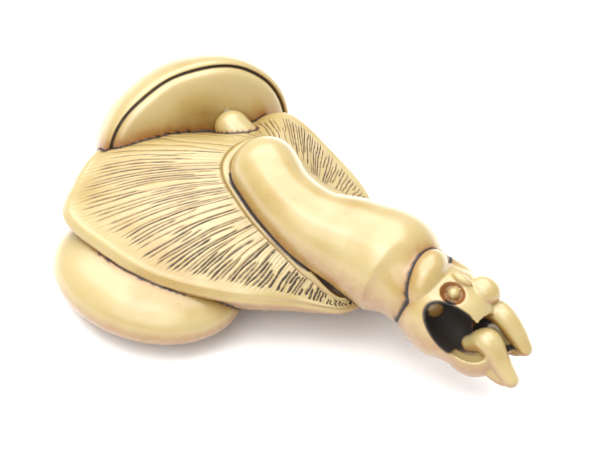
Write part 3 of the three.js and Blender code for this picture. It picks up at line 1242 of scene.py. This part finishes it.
@dataclass(frozen=True)
class IvoryFinish:
    """Old polished ivory: warm cream, orange-brown in creases and as painted shade below, dark ink in cuts.
    """

    cream: Colour = (0.66, 0.59, 0.40)
    tan: Colour = (0.60, 0.50, 0.27)
    amber: Colour = (0.50, 0.30, 0.08)
    ink: Colour = (0.13, 0.10, 0.07)
    cloud_scale: float = 130.0
    fine_scale: float = 900.0
    grain_scale: float = 2600.0
    speck_scale: float = 1100.0
    roughness: float = 0.28
    ior: float = 1.5
    coat: float = 0.8
    coat_roughness: float = 0.25
    subsurface: float = 0.12
    subsurface_radius: tuple[float, float, float] = (1.0, 0.6, 0.3)
    subsurface_scale: float = 0.0012
    bump_strength: float = 0.05
    bump_depth: float = 0.0001
    bump_shares: tuple[float, float] = (0.6, 0.4)  # of the fine noise and the grain
    tan_patches: tuple[float, float] = (0.40, 0.72)  # from here on, pairs are where a step starts and is full
    amber_step: tuple[float, float] = (0.12, 1.0)
    stain_step: tuple[float, float] = (0.0, 0.4)
    ink_step: tuple[float, float] = (0.05, 0.8)
    speck_step: tuple[float, float] = (0.16, 0.06)
    speck_patches: tuple[float, float] = (0.45, 0.75)
    toning_and_shade_mottle: tuple[float, float] = (0.65, 0.7)  # the least, and what the noise adds
    ink_mottle: tuple[float, float] = (0.75, 0.5)
    tan_gain: float = 1.6
    stain_share: float = 0.45
    speck_share: float = 0.7
    fine_roughness: float = 0.1
    ink_roughness: float = 0.45

    @staticmethod
    def noise_field(place: Shade, scale: float, detail: float = 3.0) -> Shade:
        """Soft noise over the surface."""
        inputs = {"Vector": place, "Scale": scale, "Detail": detail}
        return add_node(place.tree, "ShaderNodeTexNoise", {}, inputs)

    def colour(
        self, tree: bpy.types.NodeTree, place: Shade, fine: Shade, toning_and_shade: Shade, dark: Shade
    ) -> Shade:
        """The colour, from clean cream to the ink in the cuts.

        Args:
            tree: the material's tree.
            place: where on the carving.
            fine: fine noise.
            toning_and_shade: the toning in the creases and the pit, and the painted shade on what faces down.
            dark: how dark the cuts are.

        Returns:
            The colour.
        """
        cream, tan, amber, ink = (linear(c) for c in (self.cream, self.tan, self.amber, self.ink))
        cloud = self.noise_field(place, self.cloud_scale)
        colour = blended(tree, cream, tan, cloud.stepped(*self.tan_patches))
        least, added = self.toning_and_shade_mottle
        # The toning, which also holds the painted shade on the undersides, mottled by noise.
        toned_and_shaded = (toning_and_shade * (least + added * fine)).clamped()
        colour = blended(tree, colour, tan, (toned_and_shaded * self.tan_gain).clamped())
        colour = blended(tree, colour, amber, toned_and_shaded.stepped(*self.amber_step))
        colour = blended(tree, colour, amber, dark.stepped(*self.stain_step) * self.stain_share)
        colour = blended(tree, colour, ink, dark.stepped(*self.ink_step))
        cells = add_node(tree, "ShaderNodeTexVoronoi", {}, {"Vector": place, "Scale": self.speck_scale})
        specks = cells.stepped(*self.speck_step) * cloud.stepped(*self.speck_patches)
        return blended(tree, colour, amber, (specks * self.speck_share).clamped())

    def material(self) -> bpy.types.Material:
        """The material, which reads the marks on the mesh.

        Returns:
            The material.
        """
        made = bpy.data.materials.new("ivory")
        made.use_nodes = True
        tree = made.node_tree
        tree.nodes.clear()
        place = add_node(tree, "ShaderNodeTexCoord", {}, {}, "Object")
        ink, toning_and_shade = (
            add_node(tree, "ShaderNodeAttribute", {"attribute_name": name}, {}, "Fac") for name in MARKS
        )
        fine = self.noise_field(place, self.fine_scale)
        grain = self.noise_field(place, self.grain_scale, 2.0)
        least, added = self.ink_mottle
        dark = (ink * (least + added * grain)).clamped()
        fine_share, grain_share = self.bump_shares
        bump = {
            "Height": fine * fine_share + grain * grain_share,
            "Strength": self.bump_strength,
            "Distance": self.bump_depth,
        }
        inputs = {
            "Base Color": self.colour(tree, place, fine, toning_and_shade, dark),
            "Roughness": (
                self.roughness + self.fine_roughness * fine + self.ink_roughness * dark
            ).clamped(),
            "Normal": add_node(tree, "ShaderNodeBump", {}, bump),
            "IOR": self.ior,
            "Subsurface Weight": self.subsurface,
            "Subsurface Radius": self.subsurface_radius,
            "Subsurface Scale": self.subsurface_scale,
            "Coat Weight": (self.coat - self.coat * dark).clamped(),
            "Coat Roughness": self.coat_roughness,
        }
        shader = add_node(tree, "ShaderNodeBsdfPrincipled", {}, inputs)
        add_node(tree, "ShaderNodeOutputMaterial", {}, {"Surface": shader})
        return made


@dataclass(frozen=True)
class FloorFinish:
    """A plain matt white sweep."""

    white: Colour = (0.97, 0.97, 0.97)
    roughness: float = 0.9

    def material(self) -> bpy.types.Material:
        """The floor's material.

        Returns:
            The material.
        """
        made = bpy.data.materials.new("floor")
        made.use_nodes = True
        shader = made.node_tree.nodes["Principled BSDF"]
        shader.inputs["Base Color"].default_value = linear(self.white)
        shader.inputs["Roughness"].default_value = self.roughness
        shader.inputs["Specular IOR Level"].default_value = 0.0
        return made


# ------------------------------------------------------------------ the carving


@dataclass(frozen=True)
class MushroomCluster:
    """The whole carving, one piece from one block."""

    gills: GilledCap = GilledCap()
    standing: StandingCap = StandingCap()
    side: SideCap = SideCap()
    stem: Limb = Limb(
        (
            (-3.6, 10.8, 15.2, 3.7),
            (-1.6, 7.4, 14.4, 3.6),
            (1.6, 4.6, 13.2, 4.1),
            (6.0, 2.9, 12.0, 5.1),
            (9.8, 0.9, 11.2, 5.7),
            (12.0, -1.2, 10.6, 4.6),
        ),
        columns=80,
        steps=60,
        end_rings=14,
    )
    standing_stem: Limb = Limb(
        (
            (-7.2, 21.3, 11.2, 1.9),
            (-5.4, 19.4, 9.8, 2.4),
            (-1.0, 16.0, 7.6, 2.7),
            (4.0, 11.0, 5.6, 3.0),
            (9.0, 4.6, 6.4, 3.2),
            (12.0, 0.8, 8.4, 3.2),
        )
    )
    side_stem: Limb = Limb(
        (
            (-11.0, 8.0, 4.6, 3.0),
            (-3.0, 9.2, 3.2, 3.0),
            (3.5, 8.6, 3.0, 3.2),
            (9.0, 4.6, 4.8, 3.3),
            (12.8, 0.2, 7.6, 3.2),
        )
    )
    root: Root = Root()
    tunnel: CordTunnel = CordTunnel()
    finish: IvoryFinish = IvoryFinish()
    # How strongly shade is painted on what faces down, as tan toning.
    underside_shade: float = 0.62
    slack: float = 1e-6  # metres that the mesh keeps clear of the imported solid's box

    def build(self) -> bpy.types.Object:
        """The finished carving.

        Returns:
            One object in the row frame.
        """
        whole = as_object("carved_mushroom_cluster", self.gills.build())
        forms = [
            as_object("standing_cap", self.standing.build()),
            as_object("side_cap", self.side.build()),
            as_object("stem", self.stem.build(Form.STEM)),
            as_object("standing_stem", self.standing_stem.build(Form.STANDING_STEM)),
            as_object("side_stem", self.side_stem.build(Form.SIDE_STEM)),
            self.root.build(),
        ]
        combined(whole, forms, "UNION")
        cuts = [as_object("tunnel", self.tunnel.build()), as_object("ground", below_ground())]
        combined(whole, cuts, "DIFFERENCE")
        marks = Marks(whole)
        marks.mark_seams()
        # Painted shade on what faces down.
        marks.paint_underside_shade(self.underside_shade)
        marks.darken_walls(self.root.frame(), self.root.stained_walls())
        marks.write()
        self.place(whole)
        whole.data.materials.clear()
        whole.data.materials.append(self.finish.material())
        whole.data.shade_smooth()
        return whole

    def place(self, whole: bpy.types.Object) -> None:
        """Turns and scales the mesh into the row frame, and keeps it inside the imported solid's box.

        Args:
            whole: the carving in the working frame.
        """
        turn = Matrix.Rotation(TURN_TO_LENGTH, 4, "Z")
        whole.data.transform(Matrix.Scale(MM, 4) @ Matrix.Translation(FOOTPRINT_CENTRE) @ turn)
        low, high = CAD_BOX
        places = np.array([v.co for v in whole.data.vertices])
        own_low, own_high = places.min(axis=0), places.max(axis=0)
        LOG.info("before fitting: %s to %s", own_low.round(5), own_high.round(5))
        low, high = np.array(low) + self.slack, np.array(high) - self.slack
        low, high = np.maximum(low, own_low), np.minimum(high, own_high)
        places = low + (places - own_low) * (high - low) / (own_high - own_low)
        whole.data.vertices.foreach_set("co", places.astype(np.float32).ravel())
        whole.data.update()


# ------------------------------------------------------------------ the studio


@dataclass(frozen=True)
class SoftLight:
    """A square area light that looks at the carving."""

    name: str
    azimuth: float  # degrees, 0 in front and 90 to the right
    elevation: float
    distance: float
    size: float
    power: float

    def build(self, aim: Vector) -> None:
        """Puts the light in the scene.

        Args:
            aim: what it looks at.
        """
        data = bpy.data.lights.new(self.name, "AREA")
        data.size = self.size
        data.energy = self.power
        made = bpy.data.objects.new(self.name, data)
        bpy.context.scene.collection.objects.link(made)
        away = direction(self.azimuth, self.elevation)
        made.location = aim + away * self.distance
        made.rotation_euler = away.to_track_quat("Z", "Y").to_euler()


def direction(azimuth: float, elevation: float) -> Vector:
    """The direction from the object to a viewer at an azimuth and elevation in degrees."""
    a, e = math.radians(azimuth), math.radians(elevation)
    return Vector((math.sin(a) * math.cos(e), -math.cos(a) * math.cos(e), math.sin(e)))


@dataclass(frozen=True)
class Studio:
    """A white floor, soft lights and a camera that looks down on the carving."""

    azimuth: float = 31.0
    elevation: float = 45.0
    distance: float = 1.2
    field: float = 0.06316  # how much the frame takes in across, at the aim
    aim: Point = (-0.00247, 0.00182, 0.00893)
    clip: tuple[float, float] = (0.01, 20.0)
    floor_half: float = 2.0
    world_light: float = 0.75
    lights: tuple[SoftLight, ...] = (
        SoftLight("tent", 235.0, 76.0, 0.7, 1.0, 12.0),
        SoftLight("front", 5.0, 50.0, 0.7, 0.6, 3.2),
    )

    def build(self) -> None:
        """Makes the floor, the lights and the camera."""
        self.floor()
        aim = Vector(self.aim)
        for light in self.lights:
            light.build(aim)
        self.world()
        self.camera(aim)
        bpy.context.scene.view_settings.view_transform = "Standard"

    def floor(self) -> None:
        """The floor at the carving's feet."""
        mesh = bmesh.new()
        bmesh.ops.create_grid(mesh, x_segments=1, y_segments=1, size=self.floor_half)
        made = as_object("floor", mesh)
        made.data.materials.append(FloorFinish().material())

    def world(self) -> None:
        """Even white light from all round."""
        world = bpy.data.worlds.new("studio")
        world.use_nodes = True
        sky = world.node_tree.nodes["Background"]
        sky.inputs["Color"].default_value = (1.0, 1.0, 1.0, 1.0)
        sky.inputs["Strength"].default_value = self.world_light
        bpy.context.scene.world = world

    def camera(self, aim: Vector) -> None:
        """The camera, with its depth of field off.

        Args:
            aim: what it looks at.
        """
        data = bpy.data.cameras.new("camera")
        data.lens = data.sensor_width * self.distance / self.field
        data.clip_start, data.clip_end = self.clip
        made = bpy.data.objects.new("camera", data)
        bpy.context.scene.collection.objects.link(made)
        back = direction(self.azimuth, self.elevation)
        made.location = aim + back * self.distance
        made.rotation_euler = back.to_track_quat("Z", "Y").to_euler()
        bpy.context.scene.camera = made


def main() -> None:
    """Builds the studio and the carving, and declares what stands for what."""
    logging.basicConfig(level=logging.INFO, format="%(name)s: %(message)s")
    Studio().build()
    cluster = MushroomCluster().build()
    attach(cluster, "root")
    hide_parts("mushroom_cluster")
    triangles = sum(len(p.vertices) - 2 for p in cluster.data.polygons)
    LOG.info("%s: %d triangles", cluster.name, triangles)


if __name__ == "__main__":
    main()
